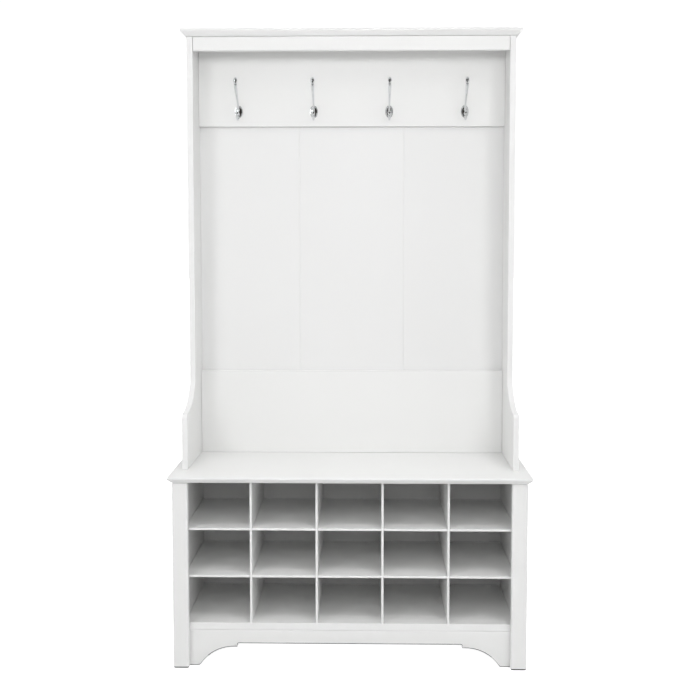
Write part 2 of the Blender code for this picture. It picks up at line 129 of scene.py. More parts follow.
class HallTreeFinishes(bpy.types.PropertyGroup):
    """Colours and gloss of the finishes."""

    laminate: colour("Laminate", "White melamine face", (0.850, 0.851, 0.844))
    tape: colour("Edge tape", "White tape on the board edges", (0.862, 0.862, 0.860))
    backing: colour("Backing", "White foil of the thin back panels", (0.835, 0.835, 0.832))
    chrome: colour("Chrome", "Polished chrome plating", (0.77, 0.78, 0.79))
    steel: colour("Plated steel", "Bright zinc plating", (0.70, 0.71, 0.72))
    beech: colour("Beech", "Pale wood between the growth lines", (0.66, 0.48, 0.31))
    beech_line: colour("Beech growth line", "Darker wood of the growth lines", (0.50, 0.33, 0.19))
    # painted shade: a nearly black colour on the apron's and stiles' downward faces paints the dark shadow
    # line under their lower edges
    underside_shade_colour: colour("Painted underside shade", "Untaped board under the apron and the stiles", (0.018, 0.017, 0.016))
    laminate_gloss: factor("Laminate roughness", "Roughness of the satin laminate", 0.42)


class HallTreeStage(bpy.types.PropertyGroup):
    """The camera, floor and lights."""

    camera_place: FloatVectorProperty(
        name="Camera place", description="Where the camera stands", default=(0.0532, -2.9416, 1.1547), size=3,
        subtype="TRANSLATION", unit="LENGTH")
    camera_turn: degrees("Camera turn", "Turn of the camera to its left", 1.067)
    camera_tilt: degrees("Camera tilt", "Downward tilt of the camera", 3.751)
    lens: factor("Lens", "Focal length in mm on a sensor 36 mm wide", 54.07)
    rise: factor("Lens shift", "Vertical shift that keeps the uprights nearly upright", -0.057)
    floor_colour: colour("Floor", "Pale studio floor", (0.80, 0.80, 0.80))
    floor_lift: factor("Floor lift", "Extra brightness of the floor as the camera sees it", 0.97)
    floor_size: metres("Floor size", "Width of the floor", 60.0)
    camera_power: watts("Camera light", "Power of the softbox above the camera", 20.0)
    left_power: watts("Left light", "Power of the low softbox in front on the left", 11.5)
    right_power: watts("Right light", "Power of the low softbox in front on the right", 8.6)
    key_power: watts("Key light", "Power of the high softbox in front on the right", 11.5)
    hutch_power: watts("Hutch light", "Power of the narrow softbox aimed at the hutch's top", 0.45)
    hutch_spread: degrees("Hutch spread", "Width of the hutch light's beam", 24)
    steep_power: watts("Steep lights", "Power of each softbox that looks steeply down into the cubbies", 0.52)
    steep_spread: degrees("Steep spread", "Width of the steep lights' beam", 50)
    side_power: watts("Side lights", "Power of each softbox beside the object", 7.2)
    rear_power: watts("Rear lights", "Power of each softbox behind the object", 22.0)
    flag_size: FloatVectorProperty(
        name="Flag size", description="Width and height of the dark card that polished metal mirrors",
        default=(0.78, 1.15), size=2, unit="LENGTH")
    surround: factor("Surround", "Brightness of the room that the object sees", 0.41)
    ceiling: factor("Ceiling", "Brightness of the room straight above the object", 1.15)


class HallTreeSettings(bpy.types.PropertyGroup):
    """All the settings of the hall tree."""

    boards: PointerProperty(type=HallTreeBoards)
    hooks: PointerProperty(type=HallTreeHooks)
    finishes: PointerProperty(type=HallTreeFinishes)
    stage: PointerProperty(type=HallTreeStage)


def settings():
    return bpy.context.scene.hall_tree


# ---------------- node groups

NODE_PITCH = 200
GROUP_WHITE = (0.85, 0.85, 0.85, 1.0)


def feed(tree, socket, value):
    """Links another node's output to the socket, or sets the socket to a constant."""
    if isinstance(value, bpy.types.NodeSocket):
        tree.links.new(value, socket)
    else:
        socket.default_value = value


def add(tree, kind, inputs=None, **values):
    """Adds a node right of the last one, sets its properties and then feeds its inputs. Returns it."""
    node = tree.nodes.new(kind)
    node.location = (NODE_PITCH * len(tree.nodes), 0)
    for name, value in values.items():
        setattr(node, name, value)
    for name, value in (inputs or {}).items():
        feed(tree, node.inputs[name], value)
    return node


def maths(tree, operation, first, second):
    """A maths node on two sockets or numbers. Returns its output."""
    return add(tree, "ShaderNodeMath", {0: first, 1: second}, operation=operation).outputs[0]


def noise(tree, coordinate, scale, detail, roughness=0.5):
    """A noise texture on a coordinate. Returns its value output."""
    inputs = {"Vector": coordinate, "Scale": scale, "Detail": detail, "Roughness": roughness}
    return add(tree, "ShaderNodeTexNoise", inputs).outputs["Fac"]


def scaled_colour(tree, colour, level):
    """A colour times a number. Returns the output."""
    return add(tree, "ShaderNodeVectorMath", {0: colour, "Scale": level}, operation="SCALE").outputs[0]


def socket_kind(label):
    return "NodeSocketColor" if label.endswith("Colour") else "NodeSocketFloat"


def new_group(name, inputs, outputs):
    """A shader node group with its sockets, and what its input node gives. Labels set the kinds."""
    group = bpy.data.node_groups.new(name, "ShaderNodeTree")
    for label, value in inputs.items():
        socket = group.interface.new_socket(name=label, in_out="INPUT", socket_type=socket_kind(label))
        socket.default_value = value
    for label in outputs:
        group.interface.new_socket(name=label, in_out="OUTPUT", socket_type=socket_kind(label))
    return group, add(group, "NodeGroupInput").outputs


def face_texture_group(name):
    """Pressed laminate: a fine pebble, slow drifts of tone and gloss, and each board's own tone."""
    group, given = new_group(
        name, {"Colour": GROUP_WHITE, "Tone Spread": 0.02, "Roughness": 0.42, "Gloss Spread": 0.10,
               "Pebble Scale": 1100.0},
        ("Colour", "Roughness", "Height"))
    place = add(group, "ShaderNodeTexCoord").outputs["Object"]
    board = add(group, "ShaderNodeAttribute", attribute_name="board_tone").outputs["Fac"]
    drift = maths(group, "SUBTRACT", noise(group, place, scale=2.3, detail=3.0), 0.5)
    spread = maths(group, "MULTIPLY", maths(group, "ADD", drift, board), given["Tone Spread"])
    smear = maths(group, "SUBTRACT", noise(group, place, scale=14.0, detail=4.0, roughness=0.6), 0.5)
    gloss = maths(group, "MULTIPLY", smear, given["Gloss Spread"])
    add(group, "NodeGroupOutput", {
        "Colour": scaled_colour(group, given["Colour"], maths(group, "ADD", spread, 1.0)),
        "Roughness": maths(group, "ADD", gloss, given["Roughness"]),
        "Height": noise(group, place, given["Pebble Scale"], detail=2.0)})
    return group


def rubbed_edge_group(name):
    """Where hands and cloths rub a board's edge: a broken mask that blends one colour into another."""
    group, given = new_group(
        name, {"Colour": GROUP_WHITE, "Edge Colour": GROUP_WHITE, "Amount": 1.0, "Patch Scale": 60.0},
        ("Colour", "Mask"))
    place = add(group, "ShaderNodeTexCoord").outputs["Object"]
    edge = add(group, "ShaderNodeAttribute", attribute_name="board_edge").outputs["Fac"]
    patches = noise(group, place, given["Patch Scale"], detail=4.0, roughness=0.6)
    broken = add(group, "ShaderNodeMapRange", {
        "Value": patches, "From Min": 0.35, "From Max": 0.65, "To Min": 0.55}).outputs["Result"]
    mask = maths(group, "MULTIPLY", maths(group, "MULTIPLY", edge, broken), given["Amount"])
    blend = add(group, "ShaderNodeMix", {
        "Factor": mask, "A": given["Colour"], "B": given["Edge Colour"]}, data_type="RGBA")
    add(group, "NodeGroupOutput", {"Colour": blend.outputs["Result"], "Mask": mask})
    return group


def handled_metal_group(name):
    """Plating that has been handled: faint smudges in its gloss and colour, and a slightly uneven polish."""
    group, given = new_group(
        name, {"Colour": GROUP_WHITE, "Polish": 0.05, "Smudge": 0.10, "Smudge Scale": 180.0},
        ("Colour", "Roughness", "Height"))
    place = add(group, "ShaderNodeTexCoord").outputs["Object"]
    smudge = noise(group, place, given["Smudge Scale"], detail=5.0, roughness=0.65)
    dirty = add(group, "ShaderNodeMapRange", {
        "Value": smudge, "From Min": 0.45, "From Max": 0.75}).outputs["Result"]
    extra = maths(group, "MULTIPLY", dirty, given["Smudge"])
    dulled = maths(group, "SUBTRACT", 1.0, maths(group, "MULTIPLY", extra, 0.5))
    add(group, "NodeGroupOutput", {
        "Colour": scaled_colour(group, given["Colour"], dulled),
        "Roughness": maths(group, "ADD", extra, given["Polish"]),
        "Height": noise(group, place, scale=420.0, detail=1.0)})
    return group


# ---------------- materials

SHADER_COLUMN = 14
EDGE_POLISH = 0.08
BOARD_SPECULAR = 0.42
PEBBLE_DEPTH = 0.00006
METAL_DEPTH = 0.00003
PORE_DEPTH = 0.00008


def cached(name, build, **values):
    """The material or node group of that name, built the first time it is asked for."""
    return bpy.data.materials.get(name) or bpy.data.node_groups.get(name) or build(name, **values)


def new_material(name):
    """A material, its node tree and its shader, which stands right of the nodes that are still to come."""
    material = bpy.data.materials.new(name)
    material.use_nodes = True
    tree = material.node_tree
    shader = tree.nodes["Principled BSDF"]
    shader.location = (NODE_PITCH * SHADER_COLUMN, 0)
    tree.nodes["Material Output"].location = (NODE_PITCH * (SHADER_COLUMN + 2), 0)
    return material, tree, shader


def place_group(tree, name, build, inputs):
    """Puts a node group in a material. Returns what it gives."""
    return add(tree, "ShaderNodeGroup", inputs, node_tree=cached(name, build)).outputs


def raise_surface(tree, shader, height, strength, distance):
    bump = add(tree, "ShaderNodeBump", {"Strength": strength, "Distance": distance, "Height": height})
    feed(tree, shader.inputs["Normal"], bump.outputs["Normal"])


def board_material(name, colour, edge_colour, roughness, pebble, strength, tone_spread):
    """White board: pressed face, rubbed and slightly glossier taped edges."""
    material, tree, shader = new_material(name)
    face = place_group(tree, "Pressed Face", face_texture_group, {
        "Colour": (*colour, 1), "Roughness": roughness, "Tone Spread": tone_spread, "Pebble Scale": pebble})
    edge = place_group(tree, "Rubbed Edge", rubbed_edge_group, {
        "Colour": face["Colour"], "Edge Colour": (*edge_colour, 1)})
    polish = maths(tree, "MULTIPLY", edge["Mask"], EDGE_POLISH)
    feed(tree, shader.inputs["Base Color"], edge["Colour"])
    feed(tree, shader.inputs["Roughness"], maths(tree, "SUBTRACT", face["Roughness"], polish))
    shader.inputs["Specular IOR Level"].default_value = BOARD_SPECULAR
    raise_surface(tree, shader, face["Height"], strength, PEBBLE_DEPTH)
    return material


def laminate_material():
    use = settings().finishes
    return cached("white laminate", board_material, colour=use.laminate, edge_colour=use.tape,
                  roughness=use.laminate_gloss, pebble=1100.0, strength=0.35, tone_spread=0.016)


# painted shade: the nearly black material that paints the shadow line under the apron and the stiles
def underside_shade_material():
    use = settings().finishes
    return cached("bare board edge", board_material, colour=use.underside_shade_colour, edge_colour=use.underside_shade_colour,
                  roughness=0.85, pebble=500.0, strength=1.0, tone_spread=0.30)


def backing_material():
    use = settings().finishes
    return cached("white backing foil", board_material, colour=use.backing, edge_colour=use.backing,
                  roughness=use.laminate_gloss + 0.10, pebble=700.0, strength=0.5, tone_spread=0.020)


def metal_material(name, colour, polish, smudge, scale, strength):
    material, tree, shader = new_material(name)
    metal = place_group(tree, "Handled Metal", handled_metal_group, {
        "Colour": (*colour, 1), "Polish": polish, "Smudge": smudge, "Smudge Scale": scale})
    feed(tree, shader.inputs["Base Color"], metal["Colour"])
    feed(tree, shader.inputs["Roughness"], metal["Roughness"])
    shader.inputs["Metallic"].default_value = 1.0
    raise_surface(tree, shader, metal["Height"], strength, METAL_DEPTH)
    return material


def chrome_material():
    return cached("polished chrome", metal_material, colour=settings().finishes.chrome, polish=0.012,
                  smudge=0.05, scale=160.0, strength=0.03)


def steel_material():
    return cached("zinc plated steel", metal_material, colour=settings().finishes.steel, polish=0.18,
                  smudge=0.20, scale=700.0, strength=0.3)


def dowel_wood(name):
    """Turned beech: growth lines and pores that run along the dowel."""
    use = settings().finishes
    material, tree, shader = new_material(name)
    along = add(tree, "ShaderNodeAttribute", attribute_name="dowel_place").outputs["Vector"]
    grain = add(tree, "ShaderNodeMapping", {"Vector": along, "Scale": (1.0, 1.0, 0.06)}).outputs["Vector"]
    ramp = add(tree, "ShaderNodeValToRGB", {
        "Fac": noise(tree, grain, scale=900.0, detail=3.0, roughness=0.6)})
    for stop, place, tint in zip(ramp.color_ramp.elements, (0.38, 0.62), (use.beech_line, use.beech)):
        stop.position = place
        stop.color = (*tint, 1)
    feed(tree, shader.inputs["Base Color"], ramp.outputs["Color"])
    pores = noise(tree, grain, scale=2600.0, detail=2.0)
    dull = maths(tree, "ADD", maths(tree, "MULTIPLY", pores, 0.25), 0.48)
    feed(tree, shader.inputs["Roughness"], dull)
    raise_surface(tree, shader, pores, strength=0.6, distance=PORE_DEPTH)
    return material


def beech_material():
    return cached("beech dowel", dowel_wood)


# ---------------- meshes

SMOOTH_ANGLE = 40
HOLE_ROOM = 0.0004
HOLE_END_ROOM = 0.0006
HOLE_START = 0.002
# faces that look further down than this take the painted shade
UNDERSIDE_SHADE_SLOPE = -0.2
SCREW_CORE = 0.0013
SCREW_HEAD = 0.0030

# Turns that lay an upright shape along X, Y or Z
AXIS_TURNS = (Matrix.Rotation(math.pi / 2, 4, "Y"), Matrix.Rotation(math.pi / 2, 4, "X"), Matrix.Identity(4))


def finish_piece(name, mesh, material, slot, *nodes, sharp=SMOOTH_ANGLE, flat_faces=False):
    """Makes the object, shades it, and ties it to the frame in place of its CAD nodes."""
    piece = bpy.data.objects.new(name, mesh)
    bpy.context.scene.collection.objects.link(piece)
    mesh.materials.clear()
    mesh.materials.append(material)
    mesh.shade_smooth()
    mesh.set_sharp_from_angle(angle=math.radians(sharp))
    if flat_faces:
        level = piece.modifiers.new("level faces", "WEIGHTED_NORMAL")
        level.mode = "FACE_AREA"
        level.weight = 100
        level.keep_sharp = True
    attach(piece, BODY)
    if nodes:
        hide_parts(*nodes)
    return piece


def mesh_of(shape, name):
    mesh = bpy.data.meshes.new(name)
    shape.to_mesh(mesh)
    shape.free()
    return mesh


def boolean(mesh, tool, operation):
    """The mesh after an exact Boolean with another mesh. Both are used up."""
    held = [bpy.data.objects.new(part.name, part) for part in (mesh, tool)]
    for part in held:
        bpy.context.scene.collection.objects.link(part)
    target, other = held
    change = target.modifiers.new(operation, "BOOLEAN")
    change.operation = operation
    change.solver = "EXACT"
    change.object = other
    graph = bpy.context.evaluated_depsgraph_get()
    made = bpy.data.meshes.new_from_object(target.evaluated_get(graph))
    name = mesh.name
    for part in held:
        data = part.data
        bpy.data.objects.remove(part)
        bpy.data.meshes.remove(data)
    made.name = name
    return made


def round_edges(shape, radius, segments):
    """Rounds every edge that is sharper than the smooth angle."""
    limit = math.radians(SMOOTH_ANGLE)
    sharp = [edge for edge in shape.edges if len(edge.link_faces) == 2 and edge.calc_face_angle() > limit]
    bmesh.ops.bevel(shape, geom=sharp, offset=radius, segments=segments, profile=0.5, affect="EDGES",
                    clamp_overlap=True)


def arc(centre, radius, start, end, steps):
    """Points along an arc, from the start angle to the end angle in degrees, both ends included."""
    angles = [math.radians(start + (end - start) * i / steps) for i in range(steps + 1)]
    return [(centre[0] + radius * math.cos(a), centre[1] + radius * math.sin(a)) for a in angles]


def prism(outline, axis, low, high):
    """A flat outline, given in the other two coordinates, pushed from low to high along one axis."""
    first, second = (i for i in range(3) if i != axis)
    shape = bmesh.new()
    ring = []
    for a, b in outline:
        place = [0.0, 0.0, 0.0]
        place[first], place[second], place[axis] = a, b, low
        ring.append(shape.verts.new(place))
    foot = shape.faces.new(ring)
    pushed = bmesh.ops.extrude_face_region(shape, geom=[foot])
    push = Vector((0, 0, 0))
    push[axis] = high - low
    moved = [item for item in pushed["geom"] if isinstance(item, bmesh.types.BMVert)]
    bmesh.ops.translate(shape, verts=moved, vec=push)
    bmesh.ops.recalc_face_normals(shape, faces=shape.faces)
    return shape


def broad_faces(shape, axis):
    """The two broad faces of a board that is thin along the axis."""
    flat = [face for face in shape.faces if abs(face.normal[axis]) > 0.999]
    return sorted(flat, key=lambda face: face.calc_area())[-2:]


def mark_edges(shape, axis):
    """Writes 1 on the edge of the board and 0 inside its broad faces, once the insets are made."""
    layer = shape.verts.layers.float.new("board_edge")
    inside = {vert for face in broad_faces(shape, axis) for vert in face.verts}
    for vert in shape.verts:
        vert[layer] = 0.0 if vert in inside else 1.0


def tape_joint(shape, axis, margin, joint):
    """A flat margin and then a hairline groove round both broad faces, where the edge tape meets the face."""
    for face in broad_faces(shape, axis):
        bmesh.ops.inset_region(shape, faces=[face], thickness=margin, use_even_offset=True)
        if joint:
            for depth in (-joint, joint):
                bmesh.ops.inset_region(
                    shape, faces=[face], thickness=joint / 2, depth=depth, use_even_offset=True)


def thin_axis(low, high):
    return min(range(3), key=lambda i: high[i] - low[i])


def rectangle(low, high, axis):
    first, second = (i for i in range(3) if i != axis)
    return [(low[first], low[second]), (high[first], low[second]), (high[first], high[second]),
            (low[first], high[second])]


def write_tone(mesh, name):
    """Gives the board its own small shift of tone, the same in every run."""
    tone = random.Random(name).uniform(-0.5, 0.5)
    layer = mesh.attributes.new("board_tone", "FLOAT", "POINT")
    layer.data.foreach_set("value", [tone] * len(mesh.vertices))


def overlap(node, low, high):
    near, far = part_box(node)
    return all(near[i] < high[i] and far[i] > low[i] for i in range(3))


def dowel_places():
    """Each dowel as (node, centre, axis, radius, half length), read from the frame."""
    places = []
    for node in sorted(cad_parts):
        if "_dowel_" not in node:
            continue
        low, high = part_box(node)
        axis = max(range(3), key=lambda i: high[i] - low[i])
        across = min(high[i] - low[i] for i in range(3) if i != axis)
        places.append((node, (low + high) / 2, axis, across / 2, (high[axis] - low[axis]) / 2))
    return places


def rod(shape, centre, axis, radius, half, sides):
    """Adds a closed cylinder along an axis to the shape."""
    place = Matrix.Translation(centre) @ AXIS_TURNS[axis]
    bmesh.ops.create_cone(
        shape, cap_ends=True, segments=sides, radius1=radius, radius2=radius, depth=2 * half, matrix=place)


def drilled(mesh, node):
    """The board's mesh with a hole for each dowel and screw that enters it."""
    low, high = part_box(node)
    shape = bmesh.new()
    for dowel, centre, axis, radius, half in dowel_places():
        if overlap(dowel, low, high):
            rod(shape, centre, axis, radius + HOLE_ROOM, half + HOLE_END_ROOM, sides=28)
    if node == "hook_rail":
        for screw in screw_nodes():
            near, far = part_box(screw)
            centre = (near + far) / 2
            start, end = low.y - HOLE_START, far.y + HOLE_END_ROOM
            centre.y = (start + end) / 2
            hole = SCREW_CORE + HOLE_ROOM + settings().hooks.thread_depth
            rod(shape, centre, Y, hole, (end - start) / 2, sides=20)
    if not shape.verts:
        shape.free()
        return mesh
    return boolean(mesh, mesh_of(shape, "drill"), "DIFFERENCE")


def make_board(node, material, slot, outline=None, radius=None, taped=True, axis=None):
    """One board from its box in the frame, with rounded edges, taped edges and drilled holes."""
    use = settings().boards
    low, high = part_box(node)
    axis = thin_axis(low, high) if axis is None else axis
    radius = use.edge_radius if radius is None else radius
    shape = prism(outline or rectangle(low, high, axis), axis, low[axis], high[axis])
    round_edges(shape, radius, segments=3)
    tape_joint(shape, axis, use.tape - radius if taped else radius, use.joint if taped else 0)
    mark_edges(shape, axis)
    mesh = drilled(mesh_of(shape, node), node)
    write_tone(mesh, node)
    return finish_piece(f"{node}_finished", mesh, material, slot, node, flat_faces=True)


def make_laminate(node, **options):
    return make_board(node, laminate_material(), "white_laminate", **options)


def paint_underside_shade(piece):
    """Paints shade under the piece: faces that look down take a nearly black material, a painted shadow line
    along its lower edges.
    """
    piece.data.materials.append(underside_shade_material())
    for face in piece.data.polygons:
        if face.normal.z < UNDERSIDE_SHADE_SLOPE:
            face.material_index = 1


# ---------------- outlines

SLOT_ROOM = 0.0003


def hutch_side_outline(low, high):
    """The hutch side as (y, z): straight back, arm with a rounded top, a cove of two radii, then upright."""
    use = settings().boards
    hutch_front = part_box("fascia_rail")[0].y
    corner = arc((low.y + use.arm_radius, use.arm_top - use.arm_radius), use.arm_radius, 180, 90, steps=16)
    reach = hutch_front - low.y - use.arm_radius
    turn = math.degrees(math.asin((reach - use.cove_small) / (use.cove_large - use.cove_small)))
    centre = (low.y + use.arm_radius, use.arm_top + use.cove_large)
    large = arc(centre, use.cove_large, -90, turn - 90, steps=30)
    centre = (hutch_front - use.cove_small, large[-1][1] + use.cove_small * math.cos(math.radians(turn)))
    small = arc(centre, use.cove_small, turn - 90, 0, steps=18)
    corners = [(high.y, high.z), (high.y, low.z), (low.y, low.z)]
    return corners + corner + large[1:] + small[1:] + [(hutch_front, high.z)]


def apron_outline(low, high):
    """The apron as (x, z): a straight edge between two curved brackets, each with a small step and a foot."""
    use = settings().boards
    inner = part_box("stile_right")[0].x
    rise = use.bracket_radius - use.bracket_top
    centre = math.sqrt(use.bracket_radius**2 - rise**2) + use.foot_length - inner
    foot_angle = 180 - math.degrees(math.asin(rise / use.bracket_radius))
    middle = (centre, use.bracket_top - use.bracket_radius)
    curve = arc(middle, use.bracket_radius, foot_angle, 90, steps=40)
    step = use.bracket_end - inner
    middle = (step + use.step_radius, use.apron_edge - use.step_radius)
    rounding = arc(middle, use.step_radius, 180, 90, steps=8)
    left = [(low.x, high.z), (low.x, low.z)] + curve + [(step, use.bracket_top)] + rounding
    return left + [(-x, z) for x, z in reversed(left)]


def divider_outline(low, high):
    """A divider as (y, z), slotted from the back for each thin shelf."""
    middle = (low.y + high.y) / 2
    outline = [(low.y, high.z), (low.y, low.z), (high.y, low.z)]
    for shelf in ("shelf_lower", "shelf_upper"):
        under, over = (corner.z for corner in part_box(shelf))
        foot, top, end = under - SLOT_ROOM, over + SLOT_ROOM, middle - SLOT_ROOM
        outline += [(high.y, foot), (end, foot), (end, top), (high.y, top)]
    return outline + [(high.y, high.z)]


def shelf_outline(low, high):
    """A thin shelf as (x, y), slotted from the front for each divider."""
    middle = (low.y + high.y) / 2
    outline = [(high.x, high.y), (low.x, high.y), (low.x, low.y)]
    for number in range(1, DIVIDERS + 1):
        near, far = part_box(f"divider_{number}")
        left, right = near.x - SLOT_ROOM, far.x + SLOT_ROOM
        outline += [(left, low.y), (left, middle), (right, middle), (right, low.y)]
    return outline + [(high.x, low.y)]


def screw_nodes():
    return [f"hook_{number}_{place}_screw" for number in range(1, HOOKS + 1) for place in ("top", "foot")]


# ---------------- seat and crown

def make_moulded(node, chamfer):
    """A board whose underside is chamfered along its front and two ends, with a softly rounded nose."""
    use = settings().boards
    low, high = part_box(node)
    shape = prism(rectangle(low, high, Z), Z, low.z, high.z)
    middle = (low + high) / 2
    lower = [edge for edge in shape.edges if all(vert.co.z < middle.z for vert in edge.verts)]
    moulded = [edge for edge in lower if not all(vert.co.y > middle.y for vert in edge.verts)]
    bmesh.ops.bevel(shape, geom=moulded, offset=chamfer, segments=1, affect="EDGES", profile=0.5)
    round_edges(shape, use.nose_radius, segments=5)
    tape_joint(shape, Z, use.nose_radius, 0)
    mark_edges(shape, Z)
    mesh = drilled(mesh_of(shape, node), node)
    write_tone(mesh, node)
    return finish_piece(f"{node}_finished", mesh, laminate_material(), "white_laminate", node, sharp=50,
                        flat_faces=True)


class HALLTREE_OT_seat_and_crown(bpy.types.Operator):
    """Builds the seat board and the crown board"""

    bl_idname = "hall_tree.seat_and_crown"
    bl_label = "Seat and crown"

    def execute(self, context):
        use = settings().boards
        make_moulded("seat_board", use.seat_chamfer)
        make_moulded("crown_board", use.crown_chamfer)
        return {"FINISHED"}


# ---------------- hutch, base and cubbies

class HALLTREE_OT_hutch(bpy.types.Operator):
    """Builds the hutch sides with their arms, the fascia and the two rails"""

    bl_idname = "hall_tree.hutch"
    bl_label = "Hutch"

    def execute(self, context):
        for side in SIDES:
            node = f"hutch_side_{side}"
            make_laminate(node, outline=hutch_side_outline(*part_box(node)), axis=X)
        make_laminate("fascia_rail", radius=settings().boards.fascia_radius, taped=False)
        for node in ("hook_rail", "lower_back_rail"):
            make_laminate(node)
        return {"FINISHED"}


class HALLTREE_OT_base(bpy.types.Operator):
    """Builds the base sides, claddings, stiles, bottom shelf, apron and rear foot rail"""

    bl_idname = "hall_tree.base"
    bl_label = "Base"

    def execute(self, context):
        foot_radius = settings().boards.foot_radius
        for side in SIDES:
            for node in (f"base_side_{side}", f"base_cladding_{side}"):
                make_laminate(node)
            # the stiles' downward faces take painted shade
            paint_underside_shade(make_laminate(f"stile_{side}", radius=foot_radius, taped=False))
        make_laminate("bottom_shelf")
        outline = apron_outline(*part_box("apron"))
        # the apron's downward faces take painted shade
        paint_underside_shade(make_laminate("apron", outline=outline, axis=Y, radius=foot_radius, taped=False))
        make_laminate("rear_foot_rail")
        return {"FINISHED"}


class HALLTREE_OT_cubbies(bpy.types.Operator):
    """Builds the dividers and the thin shelves, halved into each other"""

    bl_idname = "hall_tree.cubbies"
    bl_label = "Cubbies"

    def execute(self, context):
        radius = settings().boards.thin_radius
        for number in range(1, DIVIDERS + 1):
            node = f"divider_{number}"
            make_laminate(node, outline=divider_outline(*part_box(node)), axis=X, radius=radius, taped=False)
        for node in ("shelf_lower", "shelf_upper"):
            make_laminate(node, outline=shelf_outline(*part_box(node)), axis=Z, radius=radius, taped=False)
        return {"FINISHED"}


# ---------------- back panels and nails

PANEL_RADIUS = 0.0003
SEAM_RADIUS = 0.0012
SEAM_ROOM = 0.00004
SEAM_SINK = 0.0010
TAPE_THICK = 0.00015
TAPE_REACH = 0.012
NAIL_HEAD = 0.0021
NAIL_DOME = 0.00022
NAIL_SHANK = 0.0007
NAIL_LENGTH = 0.016
NAIL_POINT = 0.002
NAIL_GAP = 0.00002

# The boards behind each panel's edges, which take its nails
BACKING_BARS = {
    "back_panel_left": ("hutch_side_left", "hook_rail", "lower_back_rail"),
    "back_panel_centre": ("hook_rail", "lower_back_rail"),
    "back_panel_right": ("hutch_side_right", "hook_rail", "lower_back_rail"),
    "base_back_panel": ("base_side_left", "base_side_right", "bottom_shelf"),
}


def nail(shape, place):
    """A flat-headed nail driven from the back: a low dome, a shank and a point."""
    profile = [(0.0, NAIL_DOME), (NAIL_HEAD * 0.6, NAIL_DOME * 0.8), (NAIL_HEAD, NAIL_DOME * 0.2),
               (NAIL_HEAD, NAIL_GAP), (NAIL_SHANK, NAIL_GAP), (NAIL_SHANK, NAIL_POINT - NAIL_LENGTH),
               (0.0, -NAIL_LENGTH)]
    turned_shape(shape, profile, 14, Matrix.Translation(place) @ Matrix.Rotation(-math.pi / 2, 4, "X"))


def spaced(start, end, pitch):
    """Evenly spaced values from start to end, no further apart than the pitch."""
    count = max(1, math.ceil((end - start) / pitch))
    return [start + (end - start) * i / count for i in range(count + 1)]


class HALLTREE_OT_back_panels(bpy.types.Operator):
    """Builds the thin back panels and the nails that hold them"""

    bl_idname = "hall_tree.back_panels"
    bl_label = "Back panels"

    def execute(self, context):
        for node in BACKING_BARS:
            radius = PANEL_RADIUS if node == "base_back_panel" else SEAM_RADIUS
            make_board(node, backing_material(), "white_backing", radius=radius, taped=False)
        self.tape_seams()
        self.nail_panels()
        return {"FINISHED"}

    def tape_seams(self):
        """Closes each upright seam of the hutch's back with a strip: a web and a wider tape behind it."""
        for left, right in (("left", "centre"), ("centre", "right")):
            low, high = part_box(f"back_panel_{left}")
            start, end = high.x + SEAM_ROOM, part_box(f"back_panel_{right}")[0].x - SEAM_ROOM
            first, last = start - TAPE_REACH, end + TAPE_REACH
            front, back = low.y + SEAM_SINK, high.y + TAPE_THICK + SEAM_ROOM
            rear = high.y + SEAM_ROOM
            outline = [(start, front), (end, front), (end, rear), (last, rear), (last, back), (first, back),
                       (first, rear), (start, rear)]
            shape = prism(outline, Z, low.z + SEAM_ROOM, high.z - SEAM_ROOM)
            mesh = mesh_of(shape, f"back_seam_{left}_{right}")
            write_tone(mesh, mesh.name)
            finish_piece(f"back_seam_{left}_{right}", mesh, backing_material(), "white_backing")

    def nail_panels(self):
        """Nails each panel to whatever rail, side or shelf lies behind its edge."""
        pitch = settings().boards.nail_pitch
        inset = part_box("hutch_side_left")[1].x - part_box("hutch_side_left")[0].x
        shape = bmesh.new()
        for panel, bars in BACKING_BARS.items():
            low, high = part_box(panel)
            for near, far in map(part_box, bars):
                left, right = max(low.x, near.x), min(high.x, far.x)
                foot, top = max(low.z, near.z), min(high.z, far.z)
                if right - left > top - foot:
                    height = (foot + top) / 2
                    for x in spaced(left + inset, right - inset, pitch):
                        nail(shape, (x, high.y, height))
                else:
                    across = (left + right) / 2
                    for z in spaced(foot + inset, top - inset, pitch):
                        nail(shape, (across, high.y, z))
        finish_piece("back_panel_nails", mesh_of(shape, "back_panel_nails"), steel_material(), "plated_steel")


# ---------------- turned shapes

def turned_shape(shape, profile, sides, matrix, wave=None):
    """Adds a solid turned about Z from (radius, height) points that run from its top to its foot.

    A wave, if given, is a function of (point number, height, angle) that adds to the radius.
    """
    rings = []
    for number, (radius, height) in enumerate(profile):
        if radius == 0.0:
            rings.append([shape.verts.new(matrix @ Vector((0, 0, height)))])
            continue
        ring = []
        for i in range(sides):
            angle = 2 * math.pi * i / sides
            grown = radius + (wave(number, height, angle) if wave else 0.0)
            place = Vector((grown * math.cos(angle), grown * math.sin(angle), height))
            ring.append(shape.verts.new(matrix @ place))
        rings.append(ring)
    for upper, lower in zip(rings, rings[1:]):
        for i in range(sides):
            j = (i + 1) % sides
            corners = [ring[k % len(ring)] for ring, k in ((upper, i), (lower, i), (lower, j), (upper, j))]
            shape.faces.new([vert for n, vert in enumerate(corners) if vert is not corners[n - 1]])


# ---------------- hooks

